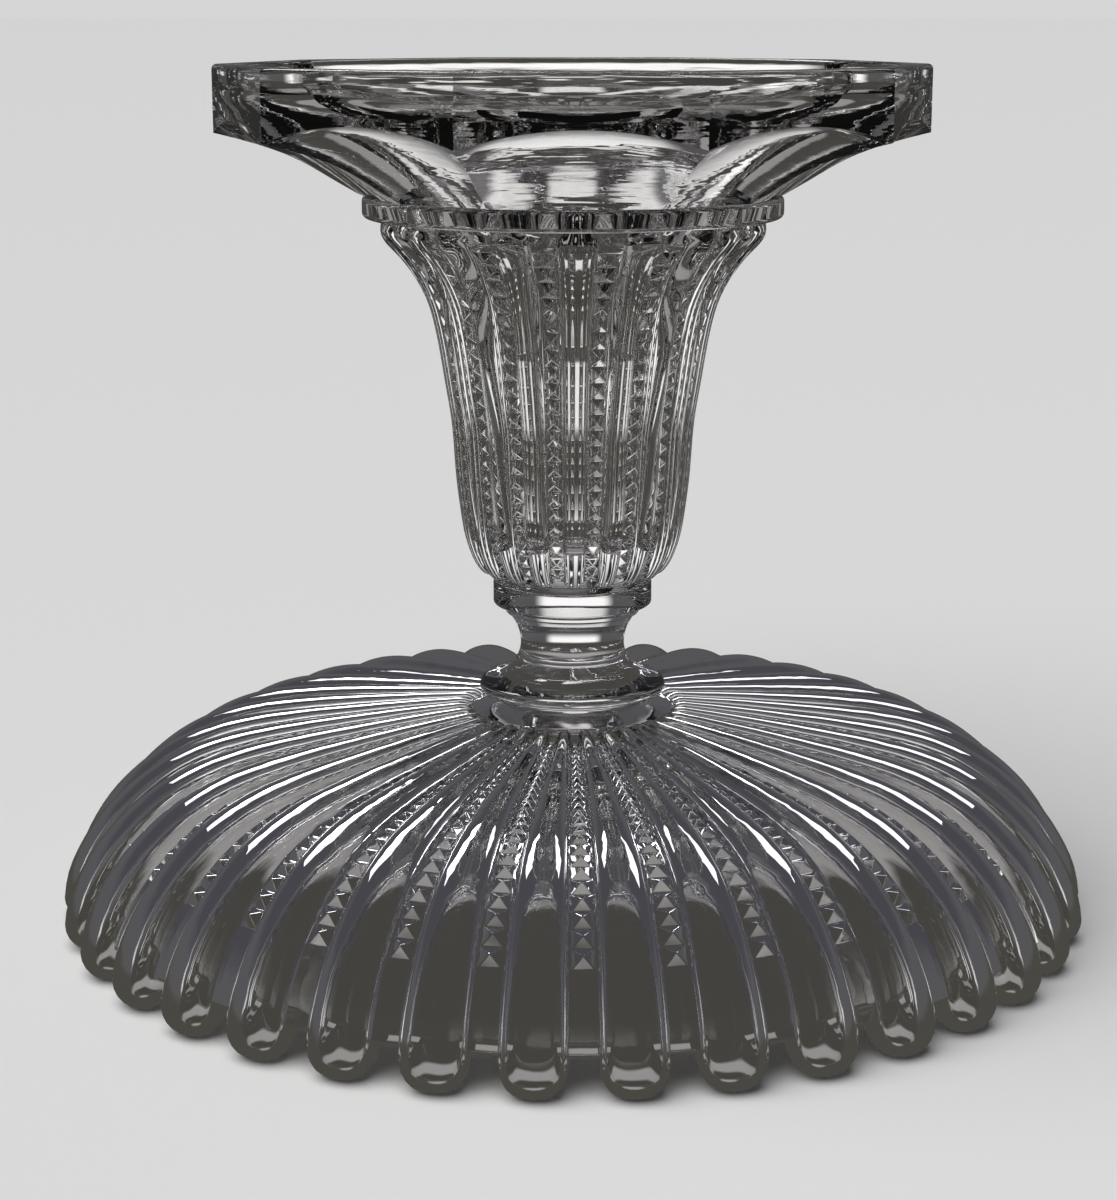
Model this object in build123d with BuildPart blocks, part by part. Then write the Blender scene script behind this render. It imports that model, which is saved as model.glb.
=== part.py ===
"""Pressed glass candlestick: domed ribbed foot, waisted stem, fluted candle socket and ten-sided drip pan.

Millimetres, +Z up. The origin is on the floor, at the centre of the ring of lobes that the foot stands on.
Each piece is one pressing or one gather of glass. The pieces are fused face to face, one above the other.
"""

from build123d import *
from math import cos, pi, radians, sin, sqrt
import os

os.makedirs("parts", exist_ok=True)

# ---- Driving sizes -------------------------------------------------------------------------------------

# Foot: a thin dome with raised ribs that run out as lobes below its rim
foot_radius = 77.6  # out to the ribs
foot_height = 33.6  # floor to the seat of the merese
foot_wall = 4.0  # glass under the bands between the ribs
foot_neck_radius = 12.9
foot_crown = 6.0  # glass between the seat of the merese and the hollow under the foot
foot_ribs = 36
rib_share = 0.66  # of the pitch taken by a rib, the rest is the band between two ribs
rib_depth_inside = 2.0  # of a rib's section where it starts, beside the neck
rib_root_share = 0.725  # of the foot's wall, that a rib's section reaches into where it ends as a lobe
rib_relief = 2.7  # the rim of the bands lies this far inside the crest of the ribs
band_drop = 1.3  # the bands start this far below the seat of the merese
lobe_drop = 5.0  # lobes below the rim of the bands
rib_end_flat = 0.3  # share of its width that a rib, or a flute, keeps as a flat at each end

# Merese: the thin disc of glass between foot and stem
merese_radius = 14.1
merese_height = 2.7

# Neck
neck_radius = 7.8
neck_foot_radius = 10.3
neck_head_radius = 9.6
neck_height = 9.8

# Knop: a flat disc with a cone under it
knop_radius = 11.9
knop_height = 5.0
knop_cone_height = 1.7
knop_round = 0.4

# Candle socket: a bell with raised flutes
socket_height = 54.1
socket_foot_radius = 12.2
socket_waist_radius = 17.7  # over the flutes, at a third of the height
socket_top_radius = 28.4  # over the flutes
flutes = 18
flute_share = 0.62  # of the pitch taken by a flute
flute_depth = 2.6
flute_relief = 1.0  # flutes stand this far out of the bell

# Candle bore, with solid glass under it
bore_radius = 11.2
bore_depth = 28.5
bore_floor = 6.5
bore_corner = 2.5

# Collar: the plain ring between socket and pan
collar_radius = 30.7
collar_height = 3.2
collar_wall = 5.6  # from the ring in to the funnel

# Drip pan: a ten-sided wall over ten hollowed panels
pan_corner_radius = 52.0
pan_height = 18.6
pan_sides = 10
pan_wall = 3.0  # at the middle of a side
pan_edge = 7.3  # height of the upright wall at the middle of a side
panel_radius = 53.0  # of the ball that hollows each panel
rim_round = 0.8

# ---- Levels and places worked out from them ------------------------------------------------------------

neck_level = foot_height + merese_height
knop_level = neck_level + neck_height
socket_level = knop_level + knop_height
collar_level = socket_level + socket_height
pan_level = collar_level + collar_height
top_level = pan_level + pan_height
bore_bottom = socket_level + bore_floor
bore_mouth = bore_bottom + bore_depth
pan_side_radius = pan_corner_radius * cos(pi / pan_sides)
dish_radius = pan_side_radius - pan_wall
band_radius = foot_radius - rib_relief
rib_depth_outside = rib_relief + rib_root_share * foot_wall
band_level = foot_height - band_drop


# ---- Shapes that repeat --------------------------------------------------------------------------------


def distances_along(length, start_round, end_round, runs=9):
    """Distances of a rib's sections from its start: close together in each rounded end, even between."""
    steps = [sin(radians(angle)) for angle in (0, 12, 30, 55)]
    first = [start_round * (1 - sqrt(1 - step**2)) for step in steps]
    last = [length - end_round * (1 - sqrt(1 - step**2)) for step in reversed(steps)]
    middle_length = length - start_round - end_round
    middle = [start_round + middle_length * run / (runs - 1) for run in range(runs)]
    return first + middle + last


def end_share(distance, round_length):
    """Share of the full section at a distance from a rounded end."""
    if distance >= round_length:
        return 1.0
    return max(rib_end_flat, sqrt(1 - (1 - distance / round_length) ** 2))


def tapered_rib(crest, half_width, half_depth, start_round, end_round):
    """A rib lofted through ellipses whose outer sides lie on a crest line of the XZ plane.

    half_width and half_depth are functions of the share of the crest's length.
    """
    with BuildPart() as rib:
        for distance in distances_along(crest.length, start_round, end_round):
            share = distance / crest.length
            size = end_share(distance, start_round) * end_share(crest.length - distance, end_round)
            run = crest % share
            inward = Vector(0, 1, 0).cross(run)
            centre = (crest @ share) + inward * half_depth(share)
            with BuildSketch(Plane(origin=centre, x_dir=(0, 1, 0), z_dir=run)):
                Ellipse(half_width(share) * size, half_depth(share) * size)
        loft()
    return rib.part


# ---- Plunger: shapes the candle bore, the funnel over it and the dish of the pan ------------------------

funnel_rise = collar_level - bore_mouth
with BuildPart() as plunger:
    with BuildSketch(Plane.XZ):
        with BuildLine():
            floor_line = Line((0, bore_bottom), (bore_radius - bore_corner, bore_bottom))
            corner_line = TangentArc(
                floor_line @ 1, (bore_radius, bore_bottom + bore_corner), tangent=(1, 0)
            )
            bore_line = Line(corner_line @ 1, (bore_radius, bore_mouth))
            funnel_line = Spline(
                bore_line @ 1,
                (bore_radius + 3.0, bore_mouth + 0.39 * funnel_rise),
                (bore_radius + 9.0, bore_mouth + 0.81 * funnel_rise),
                (collar_radius - collar_wall, collar_level + 0.7 * collar_height),
                (collar_radius + 0.3, pan_level + 4.5),
                (collar_radius + 6.3, pan_level + 9.4),
                (dish_radius - 2.9, top_level - 5.2),
                (dish_radius - 0.2, top_level - 2.4),
                tangents=((0, 1), (0.1, 1)),
            )
            Polyline(
                funnel_line @ 1,
                (dish_radius, top_level),
                (dish_radius, top_level + 1),
                (0, top_level + 1),
                (0, bore_bottom),
            )
        make_face()
    revolve(axis=Axis.Z)

# ---- Domed foot ----------------------------------------------------------------------------------------

# Crest of the ribs, as shares of the foot's radius and height
crest_shares = (
    (0.215, 0.958),
    (0.387, 0.929),
    (0.593, 0.875),
    (0.696, 0.833),
    (0.799, 0.738),
    (0.876, 0.601),
    (0.928, 0.473),
    (0.966, 0.336),
    (0.993, 0.18),
    (1.0, 0.0),
)
with BuildLine(Plane.XZ) as foot_crest:
    Spline(
        *[(foot_radius * out, foot_height * up) for out, up in crest_shares],
        tangents=((1, -0.1), (0, -1)),
    )

rib_half_angle = rib_share * pi / foot_ribs


def foot_rib_half_width(share):
    return rib_half_angle * (foot_crest.edge() @ share).X


def foot_rib_half_depth(share):
    out = min(1, (foot_crest.edge() @ share).X / (0.93 * foot_radius))
    return (rib_depth_inside + (rib_depth_outside - rib_depth_inside) * out) / 2


foot_rib = tapered_rib(foot_crest.edge(), foot_rib_half_width, foot_rib_half_depth, 0.8, lobe_drop - 0.5)

with BuildPart() as domed_foot:
    with BuildSketch(Plane.XZ):
        with BuildLine():
            # The bands between the ribs are a quarter ellipse, and so is the hollow under them
            EllipticalCenterArc((0, lobe_drop), band_radius, band_level - lobe_drop, 0, arc_size=90)
            Line((band_radius, lobe_drop), (band_radius - foot_wall, lobe_drop))
            EllipticalCenterArc(
                (0, lobe_drop), band_radius - foot_wall, band_level - lobe_drop - foot_wall, 0, arc_size=90
            )
            Line((0, band_level - foot_wall), (0, band_level))
        make_face()
    revolve(axis=Axis.Z)
    with BuildSketch(Plane.XY.offset(foot_height)):
        Circle(foot_neck_radius)
    extrude(amount=-foot_crown)
    with PolarLocations(0, foot_ribs, start_angle=180 / foot_ribs - 90):
        add(foot_rib)

# ---- Merese --------------------------------------------------------------------------------------------

merese_edge = 0.35 * merese_height
with BuildPart() as stem_merese:
    with BuildSketch(Plane.XZ):
        with BuildLine():
            Line((0, foot_height), (foot_neck_radius, foot_height))
            ThreePointArc(
                (foot_neck_radius, foot_height),
                (merese_radius, foot_height + merese_edge),
                (foot_neck_radius + 0.5, foot_height + 0.6 * merese_height),
            )
            Polyline(
                (foot_neck_radius + 0.5, foot_height + 0.6 * merese_height),
                (neck_foot_radius, neck_level),
                (0, neck_level),
                (0, foot_height),
            )
        make_face()
    revolve(axis=Axis.Z)

# ---- Neck ----------------------------------------------------------------------------------------------

with BuildPart() as stem_neck:
    with BuildSketch(Plane.XZ):
        with BuildLine():
            Line((0, neck_level), (neck_foot_radius, neck_level))
            Spline(
                (neck_foot_radius, neck_level),
                (neck_radius, neck_level + 0.5 * neck_height),
                (neck_head_radius, knop_level),
                tangents=((-0.45, 1), (0.7, 1)),
            )
            Polyline((neck_head_radius, knop_level), (0, knop_level), (0, neck_level))
        make_face()
    revolve(axis=Axis.Z)

# ---- Knop ----------------------------------------------------------------------------------------------

with BuildPart() as stem_knop:
    with Locations((0, 0, knop_level)):
        Cone(
            neck_head_radius,
            knop_radius,
            knop_cone_height,
            align=(Align.CENTER, Align.CENTER, Align.MIN),
        )
    with BuildSketch(Plane.XY.offset(knop_level + knop_cone_height)):
        Circle(knop_radius)
    extrude(amount=knop_height - knop_cone_height)
    fillet(stem_knop.edges().group_by(Axis.Z)[-1], knop_round)

# ---- Candle socket -------------------------------------------------------------------------------------


def bell_points(depth):
    """Places on the side of the bell, from the top down, at a depth inside the crests of its flutes."""
    top = socket_top_radius - depth
    waist = socket_waist_radius - depth
    return [
        (top - 4.0, socket_level + 0.875 * socket_height),
        (waist + 3.9, socket_level + 0.78 * socket_height),
        (waist + 1.6, socket_level + 0.6 * socket_height),
        (waist, socket_level + 0.36 * socket_height),
        (waist - 1.5, socket_level + 0.13 * socket_height),
    ]


with BuildLine(Plane.XZ) as socket_crest:
    Spline(
        (socket_top_radius, collar_level - 1.4),
        *bell_points(0),
        (socket_foot_radius + 0.5, socket_level + 0.8),
    )

flute_half_angle = flute_share * pi / flutes


def flute_half_width(share):
    return flute_half_angle * (socket_crest.edge() @ share).X


def flute_half_depth(share):
    return flute_depth / 2


flute = tapered_rib(socket_crest.edge(), flute_half_width, flute_half_depth, 1.6, 2.2)

with BuildPart() as candle_socket:
    with BuildSketch(Plane.XZ):
        with BuildLine():
            bell_top = (socket_top_radius - 0.2, collar_level)
            bell_foot = (socket_foot_radius - 1, socket_level)
            Spline(bell_top, *bell_points(flute_relief), bell_foot)
            Polyline(bell_foot, (0, socket_level), (0, collar_level), bell_top)
        make_face()
    revolve(axis=Axis.Z)
    with PolarLocations(0, flutes, start_angle=-90):
        add(flute)
    add(plunger.part, mode=Mode.SUBTRACT)

# ---- Collar --------------------------------------------------------------------------------------------

with BuildPart() as pan_collar:
    with BuildSketch(Plane.XY.offset(collar_level)):
        Circle(collar_radius)
    extrude(amount=collar_height)
    fillet(pan_collar.edges().filter_by(GeomType.CIRCLE), 0.25 * collar_height)
    add(plunger.part, mode=Mode.SUBTRACT)

# ---- Drip pan ------------------------------------------------------------------------------------------

# Each panel is hollowed by a ball through the middle of its top edge and of its bottom edge
panel_top = Vector(pan_side_radius, 0, top_level - pan_edge)
panel_foot = Vector(collar_radius - 0.6, 0, pan_level)
panel_chord = panel_top - panel_foot
panel_out = Vector(panel_chord.Z, 0, -panel_chord.X).normalized()
ball_offset = sqrt(panel_radius**2 - (panel_chord.length / 2) ** 2)
ball_centre = (panel_top + panel_foot) * 0.5 + panel_out * ball_offset

with BuildPart() as drip_pan:
    with BuildSketch(Plane.XY.offset(pan_level)):
        RegularPolygon(pan_corner_radius, pan_sides, rotation=180 / pan_sides - 90)
    extrude(amount=pan_height)
    fillet(drip_pan.edges().filter_by(Axis.Z), 2 * rim_round)
    with PolarLocations(ball_centre.X, pan_sides, start_angle=-90):
        with Locations((0, 0, ball_centre.Z)):
            Sphere(panel_radius, mode=Mode.SUBTRACT)
    fillet(drip_pan.faces().sort_by(Axis.Z)[-1].edges(), rim_round)
    add(plunger.part, mode=Mode.SUBTRACT)

# ---- Write the pieces ----------------------------------------------------------------------------------

pieces = {
    "domed_foot": domed_foot,
    "stem_merese": stem_merese,
    "stem_neck": stem_neck,
    "stem_knop": stem_knop,
    "candle_socket": candle_socket,
    "pan_collar": pan_collar,
    "drip_pan": drip_pan,
}
for name, piece in pieces.items():
    piece.part.label = name
    export_step(piece.part, f"parts/{name}.step")
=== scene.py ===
"""Pressed glass candlestick: the looks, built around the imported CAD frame.

Profiles are in millimetres, as (radius, height) pairs, and become metres in make_piece. The pieces are
fused, so a piece has no surface where it meets the next one: light runs through the joint as in one body.
"""

from math import cos, pi, radians, sin

import bpy
import numpy as np
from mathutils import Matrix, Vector


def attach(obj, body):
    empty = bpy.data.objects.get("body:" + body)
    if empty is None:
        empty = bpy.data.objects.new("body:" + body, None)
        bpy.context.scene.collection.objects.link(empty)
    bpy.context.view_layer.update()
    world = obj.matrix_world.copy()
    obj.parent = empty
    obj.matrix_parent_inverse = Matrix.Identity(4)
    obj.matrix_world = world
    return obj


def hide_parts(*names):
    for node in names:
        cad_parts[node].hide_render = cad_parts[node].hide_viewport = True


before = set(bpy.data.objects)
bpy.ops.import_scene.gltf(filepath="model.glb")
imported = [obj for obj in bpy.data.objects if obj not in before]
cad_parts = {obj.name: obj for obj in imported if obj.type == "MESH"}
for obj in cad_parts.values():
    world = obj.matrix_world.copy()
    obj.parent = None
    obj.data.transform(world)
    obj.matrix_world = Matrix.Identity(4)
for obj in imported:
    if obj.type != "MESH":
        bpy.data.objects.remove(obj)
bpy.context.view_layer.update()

MM = 0.001
TURN = 2 * pi
SHARP_ANGLE = radians(28)  # an edge that turns further than this is shaded sharp
PYRAMID_EDGE = 0.14  # the width of the rounding on the pyramids' edges
RIB_SECTION = 2.1  # exponent of the superellipse: 2 is round, and more is squarer
LOBE_OUTLINE = 2.6  # the same for the outline of a rib's end


# ---- Profiles and grids --------------------------------------------------------------------------------


def spline(points, count):
    """A smooth path through the points: a natural cubic, evenly spaced along its length."""
    points = np.array(points, float)
    knots = np.concatenate([[0], np.cumsum(np.linalg.norm(np.diff(points, axis=0), axis=1))])
    gaps = np.diff(knots)
    slopes = np.diff(points, axis=0) / gaps[:, None]
    last = len(points) - 1
    system = np.eye(len(points))
    right = np.zeros_like(points)
    for i in range(1, last):
        system[i, i - 1 : i + 2] = gaps[i - 1], 2 * (gaps[i - 1] + gaps[i]), gaps[i]
        right[i] = 6 * (slopes[i] - slopes[i - 1])
    bends = np.linalg.solve(system, right)
    fine = np.linspace(0, knots[-1], 40 * len(points))
    spans = np.clip(np.searchsorted(knots, fine, side="right") - 1, 0, last - 1)
    gap = gaps[spans, None]
    after = (fine - knots[spans])[:, None]
    before = gap - after
    path = (bends[spans] * before**3 + bends[spans + 1] * after**3) / (6 * gap)
    path += (points[spans] / gap - bends[spans] * gap / 6) * before
    path += (points[spans + 1] / gap - bends[spans + 1] * gap / 6) * after
    return resample(path, np.linspace(0, 1, count))


def resample(path, shares):
    """Points on a path at the given shares of its length."""
    run = np.concatenate([[0], np.cumsum(np.linalg.norm(np.diff(path, axis=0), axis=1))])
    return np.stack([np.interp(np.array(shares) * run[-1], run, path[:, k]) for k in (0, 1)], axis=1)


def path_length(path):
    return np.linalg.norm(np.diff(path, axis=0), axis=1).sum()


def normals(path):
    """Normals of a profile, to the left of its run. A profile that runs outwards has them upwards."""
    run = np.gradient(path, axis=0)
    run /= np.linalg.norm(run, axis=1)[:, None]
    return np.stack([-run[:, 1], run[:, 0]], axis=1)


def arc(centre, radius, start, end, count):
    """Points on a circle's arc in the profile plane, angles in degrees from the outward direction."""
    angles = np.radians(np.linspace(start, end, count))
    return np.array(centre) + radius * np.stack([np.cos(angles), np.sin(angles)], axis=1)


def rings(profile, columns):
    """The grid of a round piece: the same profile at each of evenly spaced azimuths."""
    profile = np.array(profile, float)
    radius = np.repeat(profile[:, :1], columns, axis=1)
    height = np.repeat(profile[:, 1:], columns, axis=1)
    azimuth = np.arange(columns) * TURN / columns
    return radius, height, azimuth


def spread(profile, columns):
    """Radii and heights of a round stretch of a grid that has other columns elsewhere."""
    return profile[:, :1] + np.zeros(columns), profile[:, 1:] + np.zeros(columns)


def make_piece(name, radius, height, azimuth, peaks=None, end_pole=None):
    """A mesh from a grid of radii and heights. Rows run along the profile, columns go all the way round.

    A quad with a peak at a corner is cut in two through it, so that the faces of a pyramid stay flat. An
    end pole is a height on the axis, and closes the last row with a fan.
    """
    rows, columns = radius.shape
    azimuth = np.broadcast_to(azimuth, radius.shape)
    points = np.stack([radius * np.sin(azimuth), -radius * np.cos(azimuth), height], axis=2).reshape(-1, 3)
    points = points.tolist()
    peaks = np.zeros(radius.shape, bool) if peaks is None else peaks
    faces = []
    for i in range(rows - 1):
        below = i + 1
        for j in range(columns):
            after = (j + 1) % columns
            a, b = i * columns + j, i * columns + after
            c, d = below * columns + after, below * columns + j
            if peaks[i, j] or peaks[below, after]:
                faces += [(a, b, c), (a, c, d)]
            elif peaks[i, after] or peaks[below, j]:
                faces += [(a, b, d), (b, c, d)]
            else:
                faces.append((a, b, c, d))
    if end_pole is not None:
        points.append((0, 0, end_pole))
        ring = [(rows - 1) * columns + j for j in range(columns)]
        faces += [(len(points) - 1, a, b) for a, b in zip(ring, ring[1:] + ring[:1])]
    mesh = bpy.data.meshes.new(name)
    mesh.from_pydata([[k * MM for k in point] for point in points], [], faces)
    mesh.shade_smooth()
    mesh.set_sharp_from_angle(angle=SHARP_ANGLE)
    piece = bpy.data.objects.new(name, mesh)
    bpy.context.scene.collection.objects.link(piece)
    if peaks.any():
        round_pyramids(piece, peaks)
    return piece


def round_pyramids(piece, peaks):
    """Rounds the edges of the pyramids: four from each peak to its corners, and those round its base."""
    rows, columns = peaks.shape
    soft = set()
    for i, j in np.argwhere(peaks).tolist():
        left, right = (j - 1) % columns, (j + 1) % columns
        peak = i * columns + j
        corners = [row * columns + k for row in (i - 1, i + 1) for k in (left, right)]
        soft.update((min(peak, corner), max(peak, corner)) for corner in corners)
        for row in (i - 1, i + 1):
            middle = row * columns + j
            beside = (row * columns + left, row * columns + right)
            soft.update((min(middle, k), max(middle, k)) for k in beside)
    mesh = piece.data
    ends = np.zeros(len(mesh.edges) * 2, int)
    mesh.edges.foreach_get("vertices", ends)
    ends = np.sort(ends.reshape(-1, 2), axis=1).tolist()
    weights = [1.0 if tuple(pair) in soft else 0.0 for pair in ends]
    mesh.attributes.new("bevel_weight_edge", "FLOAT", "EDGE").data.foreach_set("value", weights)
    bevel = piece.modifiers.new("soft_edges", "BEVEL")
    bevel.limit_method = "WEIGHT"
    bevel.width = PYRAMID_EDGE * MM
    bevel.segments = 2
    bevel.harden_normals = True


def sector_columns(count, rib_share, rib_steps, gutter):
    """Columns of a ring of ribs with a row of pyramids between each pair.

    Returns for each column its place in pitches from a rib's middle, the rib's rounding from 0 at its side
    to 1 at its crest, the same for the outline of its end, and whether it holds the pyramids' peaks.
    """
    across = np.sin(np.radians(np.linspace(-90, 90, rib_steps + 1)))
    band = 1 - rib_share
    rib_place = across * rib_share / 2
    band_place = rib_share / 2 + band * np.array([gutter, 0.5, 1 - gutter])
    place = np.concatenate([rib_place, band_place])
    rounding = np.concatenate([(1 - np.abs(across) ** RIB_SECTION) ** (1 / RIB_SECTION), np.zeros(3)])
    outline = np.concatenate([(1 - np.abs(across) ** LOBE_OUTLINE) ** (1 / LOBE_OUTLINE), np.zeros(3)])
    peak = np.zeros(len(place), bool)
    peak[-2] = True
    places = np.concatenate([place + k for k in range(count)])
    return places, np.tile(rounding, count), np.tile(outline, count), np.tile(peak, count)


def cell_rows(start, end, pitch_at_start, pitch_at_end):
    """Places along a profile: even rows are the pyramids' edges, and odd rows are their peaks."""
    count = round((end - start) / ((pitch_at_start + pitch_at_end) / 2))
    steps = np.linspace(pitch_at_start, pitch_at_end, 2 * count)
    return start + (end - start) * np.concatenate([[0], np.cumsum(steps) / steps.sum()])


# ---- Foot ----------------------------------------------------------------------------------------------

FOOT_RIBS = 36
SEAT_LEVEL = 33.5
SEAT_RADIUS = 9.0  # the fused part of the merese's seat: a fine slit runs round it
HOLLOW_TOP = 28.3
HOLLOW_FOOT = 6.2  # the hollow's height where the rim rounds over to it
FOOT_WALL = ((14, 62, 77.5), (4.2, 4.8, 6.2))  # radii, and the thickness of the glass there
FOOT_RELIEF = ((0, 6, 25, 62), (0.9, 1.5, 2.2, 2.8))  # runs along the crest, and how far a rib stands out
BAND_END = 6.0  # the height at which a band rounds over to the rim
RIB_END_DROP = 2.6  # a rib's middle runs this much lower before it rounds over
BAND_LIP = 1.0  # depth of the rim's rounding at a band
LOBE_LIP = 2.4  # and how much deeper it is at a rib's middle
foot_crest = spline(
    [
        (14.4, 32.5), (17, 32.2), (22, 31.8), (30, 31.1), (38, 30.3), (46, 29.3), (54, 27.7),
        (62, 24.4), (68, 20.0), (72, 15.8), (75, 11.2), (77, 6.4), (77.5, 3.4),
    ],
    600,
)  # fmt: skip
foot_length = path_length(foot_crest)
foot_up = normals(foot_crest)
foot_run = np.linspace(0, foot_length, len(foot_crest))

places, rounding, outline, peak_column = sector_columns(FOOT_RIBS, 0.70, 16, 0.08)
foot_azimuth = (places + 0.5) * TURN / FOOT_RIBS  # a band faces the front

last_base = np.interp(70.9, foot_crest[:, 0], foot_run)
cells = cell_rows(5.0, last_base, 1.72, 3.1)
starts = np.array([0, 0.4, 0.8, 1.3, 1.9, 2.6, 3.4, 4.2])
outer_rows = np.concatenate([starts, cells])
on_peak_row = np.concatenate([np.zeros(len(starts), bool), np.arange(len(cells)) % 2 == 1])


def foot_outside(run, rounding, raised):
    """Radius and height of the foot's outside at distances along the crest."""
    crest = np.stack([np.interp(run, foot_run, foot_crest[:, k]) for k in (0, 1)], axis=-1)
    up = np.stack([np.interp(run, foot_run, foot_up[:, k]) for k in (0, 1)], axis=-1)
    relief = np.interp(run, *FOOT_RELIEF)
    lift = raised - relief * (1 - rounding)
    return crest[..., 0] + up[..., 0] * lift, crest[..., 1] + up[..., 1] * lift


grid_run = outer_rows[:, None] + 0 * places[None]
cap = np.clip((outer_rows - 1.0) / 2.4, 0, 1)[:, None]
cap_rounding = np.sqrt(np.clip(rounding[None] ** 2 - (1 - cap) ** 2, 0, 1))
peak_height = np.interp(outer_rows, [5, 30, 60], [0.45, 0.8, 1.15])[:, None]
foot_peaks = on_peak_row[:, None] & peak_column[None]
foot_radius, foot_height = foot_outside(grid_run, cap_rounding, peak_height * foot_peaks)

# Below the last pyramids each column runs on to its own end, so that the ribs end as lobes
dense = np.linspace(last_base, foot_length, 80)
end_height = BAND_END - RIB_END_DROP * outline
end_run = []
for k, level in enumerate(end_height):
    _, heights = foot_outside(dense, rounding[k], 0)
    end_run.append(np.interp(-level, -heights, dense))
end_run = np.array(end_run)
skirt_share = np.linspace(0, 1, 9)[1:, None]
skirt_run = last_base + skirt_share * (end_run - last_base)[None]
skirt_radius, skirt_height = foot_outside(skirt_run, rounding[None], 0)

# The hollow follows the crest at the thickness of the glass, and the rim rounds over to it from the outside
foot_glass = np.interp(foot_crest[:, 0], *FOOT_WALL)[:, None]
hollow_path = (foot_crest - foot_up * foot_glass)[::-1]
hollow_path = resample(hollow_path[hollow_path[:, 1] > HOLLOW_FOOT], np.linspace(0, 1, 28))
rim_turn = np.radians(np.linspace(0, 180, 13))[1:, None]
rim_half = (skirt_radius[-1] - hollow_path[0, 0]) / 2
rim_radius = hollow_path[0, 0] + rim_half[None] * (1 + np.cos(rim_turn))
rim_height = skirt_height[-1][None] - (BAND_LIP + LOBE_LIP * outline)[None] * np.sin(rim_turn)

hollow_radius, hollow_height = spread(hollow_path, len(places))

top_profile = np.array([(SEAT_RADIUS, SEAT_LEVEL), (10.2, 33.4), (10.7, 33.0), (11.4, 32.5), (13.4, 32.0)])
top_radius, top_height = spread(top_profile, len(places))

domed_foot = make_piece(
    "domed_foot_glass",
    np.concatenate([top_radius, foot_radius, skirt_radius, rim_radius, hollow_radius]),
    np.concatenate([top_height, foot_height, skirt_height, rim_height, hollow_height]),
    foot_azimuth,
    peaks=np.concatenate(
        [np.zeros_like(top_radius, bool), foot_peaks]
        + [np.zeros_like(part, bool) for part in (skirt_radius, rim_radius, hollow_radius)]
    ),
    end_pole=HOLLOW_TOP,
)

# ---- Merese, neck and knop -----------------------------------------------------------------------------

ROUND_COLUMNS = 180
NECK_FOOT = (10.3, 36.3)
NECK_HEAD = (9.6, 46.1)
KNOP_TOP = (11.2, 51.1)
merese_profile = np.concatenate(
    [
        [(SEAT_RADIUS, SEAT_LEVEL), (10.2, 33.65)],
        arc((13.0, 34.85), 1.05, -90, 62, 14),
        spline([(13.4, 35.78), (12.4, 36.02), (11.3, 36.16), NECK_FOOT], 8)[1:],
    ]
)
stem_merese = make_piece("stem_merese_glass", *rings(merese_profile, ROUND_COLUMNS))

neck_profile = spline(
    [NECK_FOOT, (9.6, 37.1), (9.0, 38.0), (8.15, 39.6), (7.8, 41.2), (8.0, 43.0), (8.6, 44.6), NECK_HEAD],
    30,
)
stem_neck = make_piece("stem_neck_glass", *rings(neck_profile, ROUND_COLUMNS))

knop_profile = np.concatenate(
    [
        [NECK_HEAD, (9.75, 46.12)],
        arc((9.75, 46.42), 0.3, -80, -20, 5),
        spline([(10.05, 46.6), (10.5, 47.1), (11.1, 47.45), (11.6, 47.6)], 6)[1:],
        arc((11.6, 47.9), 0.3, -80, 0, 5),
        arc((11.5, 50.7), 0.4, 0, 90, 7),
        [KNOP_TOP],
    ]
)
stem_knop = make_piece("stem_knop_glass", *rings(knop_profile, ROUND_COLUMNS))

# ---- Candle socket -------------------------------------------------------------------------------------

FLUTES = 18
COLLAR_LEVEL = 105.2
PAN_LEVEL = 108.4
BORE_RADIUS = 11.2
BORE_BOTTOM = 57.6
BORE_ROUNDING = 2.5  # between the bore's wall and its floor
COLLAR_SEAT_RADIUS = 28.0

bell_crest = spline(
    [
        (12.0, 51.5), (12.9, 52.0), (14.5, 53.7), (15.5, 55.8), (16.4, 58.9), (16.9, 62), (17.5, 67),
        (18.2, 76), (19.0, 81), (19.8, 86), (20.5, 89.6), (21.6, 93.4), (23.9, 97.6), (26.2, 100.4),
        (28.0, 102.6), (28.4, 104.2),
    ],
    600,
)  # fmt: skip
bell_length = path_length(bell_crest)
bell_out = -normals(bell_crest)
bell_run = np.linspace(0, bell_length, len(bell_crest))

places, rounding, _, peak_column = sector_columns(FLUTES, 0.62, 14, 0.06)
bell_azimuth = places * TURN / FLUTES  # a flute faces the front

cells = cell_rows(3.0, bell_length - 3.5, 1.95, 2.6)
starts = np.array([0, 0.3, 0.7, 1.2, 1.8, 2.4])
ends = bell_length - np.array([2.8, 2.1, 1.4, 0.7, 0])
outer_rows = np.concatenate([starts, cells, ends])
on_peak_row = np.zeros(len(outer_rows), bool)
on_peak_row[len(starts) + 1 : len(starts) + len(cells) : 2] = True

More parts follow.
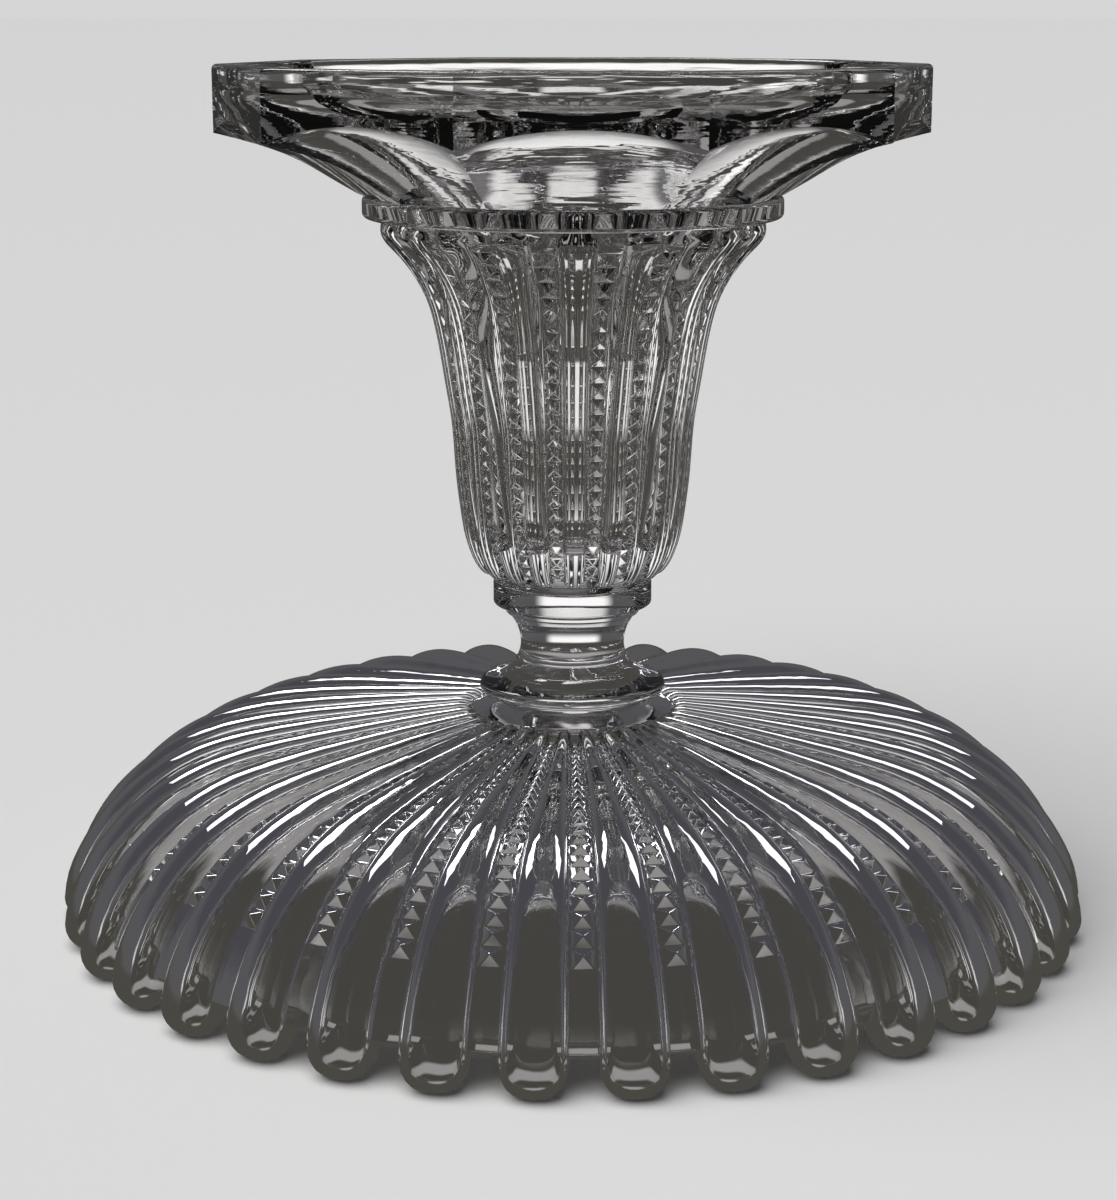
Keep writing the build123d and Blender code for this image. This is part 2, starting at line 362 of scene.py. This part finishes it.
start_cap = np.clip((outer_rows - 0.6) / 1.8, 0, 1)
end_cap = np.clip((bell_length + 1.2 - outer_rows) / 2.6, 0, 1)
cap = np.minimum(start_cap, end_cap)[:, None]
cap_rounding = np.sqrt(np.clip(rounding[None] ** 2 - (1 - cap) ** 2, 0, 1))
peak_height = np.interp(outer_rows, [3, 20, 50], [0.6, 0.75, 0.9])[:, None]
bell_peaks = on_peak_row[:, None] & peak_column[None]
relief = np.interp(outer_rows, [0, 4, 50], [0.5, 1.1, 1.3])[:, None]
lift = peak_height * bell_peaks - relief * (1 - cap_rounding)
crest = np.stack([np.interp(outer_rows, bell_run, bell_crest[:, k]) for k in (0, 1)], axis=1)
out = np.stack([np.interp(outer_rows, bell_run, bell_out[:, k]) for k in (0, 1)], axis=1)
bell_radius = crest[:, :1] + out[:, :1] * lift
bell_height = crest[:, 1:] + out[:, 1:] * lift

funnel = spline(
    [
        (BORE_RADIUS, 86.1), (11.9, 88.9), (14.2, 93.6), (17.2, 97.8), (20.2, 101.6), (25.1, 107.4),
        (31.0, 112.9), (37.0, 117.4), (42.6, 120.6), (45.8, 122.9), (46.4, 124.2), (46.46, 126.2),
    ],
    200,
)  # fmt: skip


def funnel_part(low, high, count):
    """The stretch of the funnel between two heights, upwards."""
    heights = np.linspace(low, high, count)
    return np.stack([np.interp(heights, funnel[:, 1], funnel[:, 0]), heights], axis=1)


bore_profile = np.concatenate(
    [
        funnel_part(86.4, COLLAR_LEVEL, 16)[::-1],
        np.stack([np.full(8, BORE_RADIUS), np.linspace(86, 60.2, 8)], axis=1),
        arc((BORE_RADIUS - BORE_ROUNDING, BORE_BOTTOM + BORE_ROUNDING), BORE_ROUNDING, 0, -90, 9),
        [(5.0, BORE_BOTTOM)],
    ]
)
bottom_radius, bottom_height = spread(np.array([KNOP_TOP]), len(places))
top_radius, top_height = spread(np.array([(COLLAR_SEAT_RADIUS, COLLAR_LEVEL)]), len(places))
outside = make_piece(
    "candle_socket_glass",
    np.concatenate([bottom_radius, bell_radius, top_radius]),
    np.concatenate([bottom_height, bell_height, top_height]),
    bell_azimuth,
    peaks=np.concatenate([np.zeros_like(bottom_radius, bool), bell_peaks, np.zeros_like(top_radius, bool)]),
)
inside = make_piece("candle_bore_glass", *rings(bore_profile, ROUND_COLUMNS), end_pole=BORE_BOTTOM)

# ---- Collar --------------------------------------------------------------------------------------------

COLLAR_TOP_RADIUS = 29.9
COLLAR_ROUNDING = 0.8
collar_profile = np.concatenate(
    [
        [(COLLAR_SEAT_RADIUS, COLLAR_LEVEL), (29.4, COLLAR_LEVEL)],
        arc((COLLAR_TOP_RADIUS, COLLAR_LEVEL + COLLAR_ROUNDING), COLLAR_ROUNDING, -90, 0, 8),
        arc((COLLAR_TOP_RADIUS, PAN_LEVEL - COLLAR_ROUNDING), COLLAR_ROUNDING, 0, 90, 8),
    ]
)
pan_collar = make_piece("pan_collar_glass", *rings(collar_profile, ROUND_COLUMNS))
collar_funnel = funnel_part(COLLAR_LEVEL, PAN_LEVEL, 6)[::-1]
collar_bore = make_piece("collar_funnel_glass", *rings(collar_funnel, ROUND_COLUMNS))

# ---- Drip pan ------------------------------------------------------------------------------------------

PAN_SIDES = 10
RIM_ROUNDING = 0.8
RIM_LEVEL = 126.2  # where the rounding of the rim begins
half_side = pi / PAN_SIDES
FACET_STEPS = 24

# The middle of a panel and the arris between two panels, from the collar to the upright wall
turn = np.radians(np.linspace(132.56, 108.07, 20))
middle_line = np.stack([65.87 + 53 * np.cos(turn), 69.37 + 53 * np.sin(turn)], axis=1)
arris_line = spline([(31.7, 108.4), (34.5, 110.0), (40.0, 113.2), (45.6, 115.4), (52.0, 117.2)], 20)
ARRIS_FLARE = radians(4.6)

step = np.linspace(-1, 1, FACET_STEPS + 1)[:-1]
cove_rows = []
for t, (mid, ridge) in enumerate(zip(middle_line, arris_line)):
    share = t / (len(middle_line) - 1)
    flare = ARRIS_FLARE * (1 - share) ** 0.8
    row = []
    for side in range(PAN_SIDES):
        swing = flare if side % 2 == 0 else -flare
        half = half_side + swing
        across_half, depth = ridge[0] * sin(half), ridge[0] * cos(half)
        centre = side * TURN / PAN_SIDES
        for s in step:
            x = s * across_half
            y = mid[0] + (depth - mid[0]) * s * s
            z = mid[1] + (ridge[1] - mid[1]) * s * s
            row.append((np.hypot(x, y), z, centre + np.arctan2(x, y)))
    cove_rows.append(row)
cove = np.array(cove_rows)
edge_place = cove[-1, :, 2]

seat_row = np.array(cove[:1])
seat_row[..., 0] = COLLAR_TOP_RADIUS
wall_rows = []
for level in (0.06, 0.3, 0.6, 0.94, 1.0):
    row = np.array(cove[-1])
    row[:, 1] += (RIM_LEVEL - row[:, 1]) * level
    wall_rows.append(row)
rim_rows = []
for angle in np.radians(np.linspace(15, 90, 6)):
    row = np.array(cove[-1])
    row[:, 0] -= RIM_ROUNDING * (1 - np.cos(angle))
    row[:, 1] = RIM_LEVEL + RIM_ROUNDING * np.sin(angle)
    rim_rows.append(row)
outer = np.concatenate([seat_row, cove, np.array(wall_rows), np.array(rim_rows)])
inner_profile = np.concatenate(
    [
        arc((47.16, 126.3), 0.7, 90, 180, 6),
        funnel_part(PAN_LEVEL, 126.0, 26)[::-1],
    ]
)
inner = np.stack(
    [
        inner_profile[:, :1] + 0 * edge_place,
        inner_profile[:, 1:] + 0 * edge_place,
        np.zeros((len(inner_profile), 1)) + edge_place,
    ],
    axis=2,
)
pan = np.concatenate([outer, inner])
drip_pan = make_piece("drip_pan_glass", pan[..., 0], pan[..., 1], pan[..., 2])

# ---- Glass ---------------------------------------------------------------------------------------------


def pressed_glass(name, size, distance, strength):
    """Clear glass with the shallow ripples of a pressing.

    size is the scale of the ripples along each axis, per metre. The distance of the bump is in metres.
    """
    glass = bpy.data.materials.new(name)
    glass.use_nodes = True
    nodes, links = glass.node_tree.nodes, glass.node_tree.links
    shader = nodes["Principled BSDF"]
    shader.inputs["Base Color"].default_value = (0.84, 0.83, 0.82, 1)
    shader.inputs["Roughness"].default_value = 0.0
    shader.inputs["IOR"].default_value = 1.52
    shader.inputs["Transmission Weight"].default_value = 1.0
    place = nodes.new("ShaderNodeTexCoord")
    stretch = nodes.new("ShaderNodeMapping")
    stretch.inputs["Scale"].default_value = size
    waves = nodes.new("ShaderNodeTexNoise")
    waves.inputs["Scale"].default_value = 1
    waves.inputs["Detail"].default_value = 2.0
    bump = nodes.new("ShaderNodeBump")
    bump.inputs["Strength"].default_value = strength
    bump.inputs["Distance"].default_value = distance
    links.new(place.outputs["Object"], stretch.inputs["Vector"])
    links.new(stretch.outputs["Vector"], waves.inputs["Vector"])
    links.new(waves.outputs["Fac"], bump.inputs["Height"])
    links.new(bump.outputs["Normal"], shader.inputs["Normal"])
    return glass


even_glass = pressed_glass("even_glass", (90, 90, 90), 0.0004, 0.25)
rippled_glass = pressed_glass("rippled_glass", (120, 120, 120), 0.0006, 0.5)
streaked_glass = pressed_glass("streaked_glass", (70, 70, 700), 0.00012, 0.6)


def joined(first, second):
    """One object from two shells of the same body."""
    with bpy.context.temp_override(active_object=first, selected_editable_objects=[first, second]):
        bpy.ops.object.join()
    return first


candle_socket = joined(outside, inside)
pan_collar = joined(pan_collar, collar_bore)
pieces = {
    domed_foot: "domed_foot",
    stem_merese: "stem_merese",
    stem_neck: "stem_neck",
    stem_knop: "stem_knop",
    candle_socket: "candle_socket",
    pan_collar: "pan_collar",
    drip_pan: "drip_pan",
}
glasses = {domed_foot: rippled_glass, drip_pan: streaked_glass}
for piece, node in pieces.items():
    piece.data.materials.append(glasses.get(piece, even_glass))
    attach(piece, "root")
    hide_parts(node)

# ---- Stage ---------------------------------------------------------------------------------------------

FLOOR_HALF = 40
SUN_STRENGTH = 2.9
SUN_SPREAD = radians(70)
BACKDROP = 0.67
TABLE = (0.068, 0.064, 0.056)
LIT_TABLE = (0.36, 0.35, 0.35)  # a paler band of the table, which shows in the pyramids and the lobes
BELOW = (0.45, 0.43, 0.44)  # straight down
WINDOW_EDGE = (-0.1, 0.5)  # where a window fades in: the cosine of four times the azimuth
# Surroundings by height: the sine of the elevation, and the colour there
WINDOW_BANDS = (
    (-1.0, BELOW),
    (-0.97, BELOW),
    (-0.94, TABLE),
    (-0.76, TABLE),
    (-0.72, LIT_TABLE),
    (-0.58, LIT_TABLE),
    (-0.53, TABLE),
    (-0.075, TABLE),
    (-0.02, (1.25, 1.25, 1.25)),
    (0.10, (1.25, 1.25, 1.25)),
    (0.30, (0.50, 0.50, 0.51)),
    (0.50, (0.10, 0.10, 0.11)),
)
WALL_BANDS = (
    (-1.0, BELOW),
    (-0.97, BELOW),
    (-0.94, TABLE),
    (-0.76, TABLE),
    (-0.72, LIT_TABLE),
    (-0.58, LIT_TABLE),
    (-0.53, TABLE),
    (-0.065, TABLE),
    (-0.03, (0.10, 0.10, 0.10)),
    (0.30, (0.12, 0.12, 0.13)),
    (0.50, (0.08, 0.08, 0.09)),
)
MIRRORED_BANDS = (
    (-0.10, TABLE),
    (0.0, (0.09, 0.09, 0.09)),
    (0.30, (0.09, 0.09, 0.10)),
    (0.50, (0.06, 0.06, 0.07)),
)
floor_mesh = bpy.data.meshes.new("floor")
corners = [(x * FLOOR_HALF, y * FLOOR_HALF, 0) for x, y in ((-1, -1), (1, -1), (1, 1), (-1, 1))]
floor_mesh.from_pydata(corners, [], [(0, 1, 2, 3)])
floor = bpy.data.objects.new("floor", floor_mesh)
bpy.context.scene.collection.objects.link(floor)
paper = bpy.data.materials.new("floor_paper")
paper.use_nodes = True
paper.node_tree.nodes["Principled BSDF"].inputs["Base Color"].default_value = (0.8, 0.8, 0.79, 1)
paper.node_tree.nodes["Principled BSDF"].inputs["Roughness"].default_value = 0.9
floor_mesh.materials.append(paper)
floor.visible_transmission = False
floor.visible_glossy = False


def lamp(name, kind, place, target, power, colour=(1, 1, 1)):
    light = bpy.data.lights.new(name, kind)
    light.energy = power
    light.color = colour
    holder = bpy.data.objects.new(name, light)
    bpy.context.scene.collection.objects.link(holder)
    holder.location = place
    holder.rotation_euler = (Vector(target) - Vector(place)).to_track_quat("-Z", "Y").to_euler()
    return holder


only_glass = bpy.data.collections.new("only_glass")
for piece in pieces:
    only_glass.objects.link(piece)

centre = Vector((0, 0, 0.06))


def window(name, azimuth, elevation, distance, size, radiance, colour):
    """A soft light behind the object, mirrored in the outer faces of the glass and not seen through it.

    Angles are in degrees, from straight behind and from level. Distance and size are in metres.
    """
    turn, rise = radians(azimuth), radians(elevation)
    way = Vector((sin(turn) * cos(rise), cos(turn) * cos(rise), sin(rise)))
    power = radiance * pi * size[0] * size[1]
    holder = lamp(name, "AREA", centre + way * distance, centre, power, colour)
    holder.data.shape = "RECTANGLE"
    holder.data.size, holder.data.size_y = size
    holder.visible_transmission = False
    return holder


windows = [
    window("white_window", -22, 45, 1.2, (0.7, 0.24), 5.0, (1, 1, 1)),
    window("grey_window", 2, 53, 1.25, (1.9, 0.44), 1.3, (0.95, 0.94, 1.0)),
]
for light in windows:
    light.light_linking.receiver_collection = only_glass
sun = lamp("floor_sun", "SUN", (-0.4, -0.3, 1), (0, 0, 0), SUN_STRENGTH)
sun.data.angle = SUN_SPREAD
sun.visible_transmission = False
sun.visible_glossy = False

# Only the glass sees this room: a dark table with a paler band, and dark walls with a pale window in each
world = bpy.data.worlds.new("studio")
bpy.context.scene.world = world
world.use_nodes = True
nodes, links = world.node_tree.nodes, world.node_tree.links
nodes.clear()


def math_node(operation, first, second=None):
    node = nodes.new("ShaderNodeMath")
    node.operation = operation
    links.new(first, node.inputs[0])
    if isinstance(second, (int, float)):
        node.inputs[1].default_value = second
    elif second is not None:
        links.new(second, node.inputs[1])
    return node.outputs[0]


def bands(stops):
    """A colour by height: stops are the sine of the elevation and the colour there."""
    node = nodes.new("ShaderNodeValToRGB")
    ramp = node.color_ramp
    ramp.elements[0].position, ramp.elements[0].color = (stops[0][0] + 1) / 2, (*stops[0][1], 1)
    ramp.elements[1].position, ramp.elements[1].color = (stops[-1][0] + 1) / 2, (*stops[-1][1], 1)
    for sine, colour in stops[1:-1]:
        ramp.elements.new((sine + 1) / 2).color = (*colour, 1)
    links.new(rise, node.inputs[0])
    return node.outputs["Color"]


def ramp_between(value, low, high):
    node = nodes.new("ShaderNodeMapRange")
    node.interpolation_type = "SMOOTHSTEP"
    node.inputs["From Min"].default_value = low
    node.inputs["From Max"].default_value = high
    links.new(value, node.inputs["Value"])
    return node.outputs[0]


def mix_colour(factor, first, second):
    node = nodes.new("ShaderNodeMix")
    node.data_type = "RGBA"
    links.new(factor, node.inputs["Factor"])
    links.new(first, node.inputs["A"])
    links.new(second, node.inputs["B"])
    return node.outputs["Result"]


direction = nodes.new("ShaderNodeTexCoord")
parts = nodes.new("ShaderNodeSeparateXYZ")
links.new(direction.outputs["Generated"], parts.inputs[0])
rise = math_node("MULTIPLY", math_node("ADD", parts.outputs["Z"], 1), 0.5)
quarter_turns = math_node("MULTIPLY", math_node("ARCTAN2", parts.outputs["X"], parts.outputs["Y"]), 4)
at_window = ramp_between(math_node("COSINE", quarter_turns), *WINDOW_EDGE)
room_colour = mix_colour(at_window, bands(WALL_BANDS), bands(WINDOW_BANDS))
rays = nodes.new("ShaderNodeLightPath")
around_colour = mix_colour(rays.outputs["Is Transmission Ray"], bands(MIRRORED_BANDS), room_colour)
around = nodes.new("ShaderNodeBackground")
links.new(around_colour, around.inputs["Color"])
backdrop = nodes.new("ShaderNodeBackground")
backdrop.inputs["Color"].default_value = (BACKDROP, BACKDROP, BACKDROP, 1)
mix = nodes.new("ShaderNodeMixShader")
output = nodes.new("ShaderNodeOutputWorld")
links.new(rays.outputs["Is Camera Ray"], mix.inputs[0])
links.new(around.outputs[0], mix.inputs[1])
links.new(backdrop.outputs[0], mix.inputs[2])
links.new(mix.outputs[0], output.inputs[0])
bpy.context.scene.view_settings.view_transform = "Standard"

# ---- Camera --------------------------------------------------------------------------------------------

CAMERA_DISTANCE = 0.3732
CAMERA_HEIGHT = 0.1345
CAMERA_PITCH = radians(13.093)
CAMERA_TURN = radians(-0.9)
FOCAL_PIXELS = 2537
IMAGE_WIDTH = 1117
SIDE_STEP = 0.0021  # the object stands this far to the right of the picture's middle

lens = bpy.data.cameras.new("camera")
lens.sensor_fit = "HORIZONTAL"
lens.sensor_width = 36
lens.lens = 36 * FOCAL_PIXELS / IMAGE_WIDTH
lens.clip_start = 0.01
camera = bpy.data.objects.new("camera", lens)
bpy.context.scene.collection.objects.link(camera)
away = Vector((sin(CAMERA_TURN), -cos(CAMERA_TURN), 0))
aside = Vector((cos(CAMERA_TURN), sin(CAMERA_TURN), 0))
camera.location = away * CAMERA_DISTANCE - aside * SIDE_STEP + Vector((0, 0, CAMERA_HEIGHT))
camera.rotation_euler = (pi / 2 - CAMERA_PITCH, 0, CAMERA_TURN)
bpy.context.scene.camera = camera
